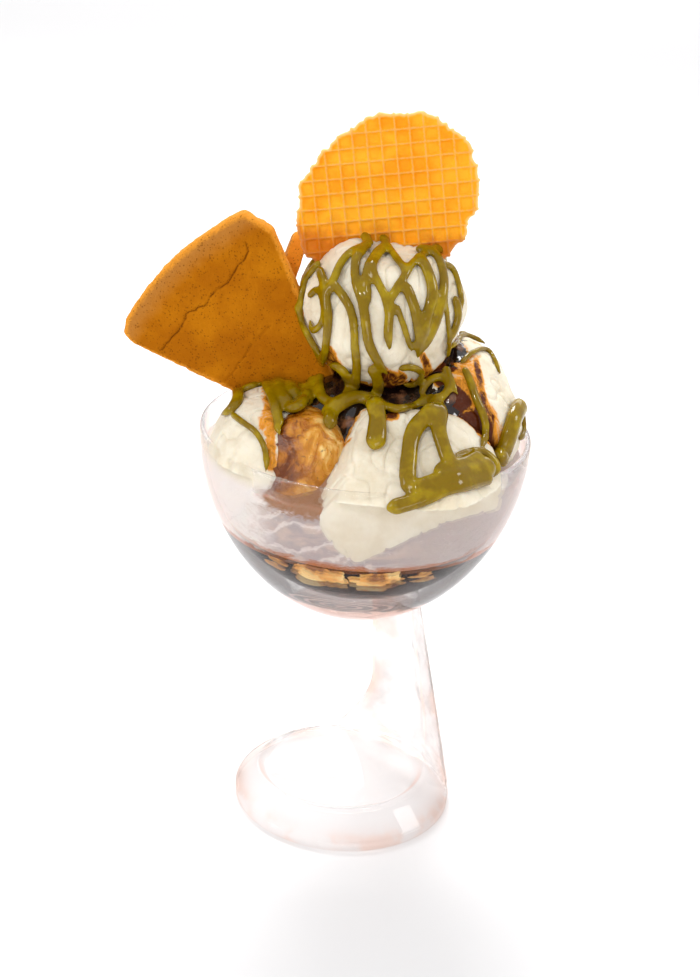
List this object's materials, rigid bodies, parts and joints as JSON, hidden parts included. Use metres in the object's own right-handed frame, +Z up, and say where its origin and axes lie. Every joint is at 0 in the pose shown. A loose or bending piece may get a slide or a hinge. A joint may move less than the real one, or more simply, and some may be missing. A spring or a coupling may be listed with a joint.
{
  "type": "ice cream sundae",
  "caption": "Ice cream sundae in a footed glass bowl with a leaning stem, scoops over dark syrup, a round wafer and fan-shaped biscuits on top.",
  "frame": {"origin": "middle of the underside of the glass's foot, on the table", "axes": "+Z up along the axis of the bowl and foot, -Y towards the front where the wafer's face looks, +X to the right"},
  "size_m": [0.1377, 0.1156, 0.2501],
  "materials": {
    "clear_glass": "gloss",
    "syrup": "gloss",
    "ice_cream": "satin",
    "soft_layer": "satin",
    "wafer": "matte",
    "biscuit": "matte"
  },
  "bodies": {
    "root": {"glass_coupe": "clear_glass", "syrup_pool": "syrup", "soft_ice_cream": "soft_layer", "scoop_top": "ice_cream", "scoop_front": "ice_cream", "scoop_right": "ice_cream", "scoop_left": "ice_cream", "scoop_back": "ice_cream", "wafer_disc": "wafer", "biscuit_front": "biscuit", "biscuit_back": "biscuit"}
  },
  "joints": []
}
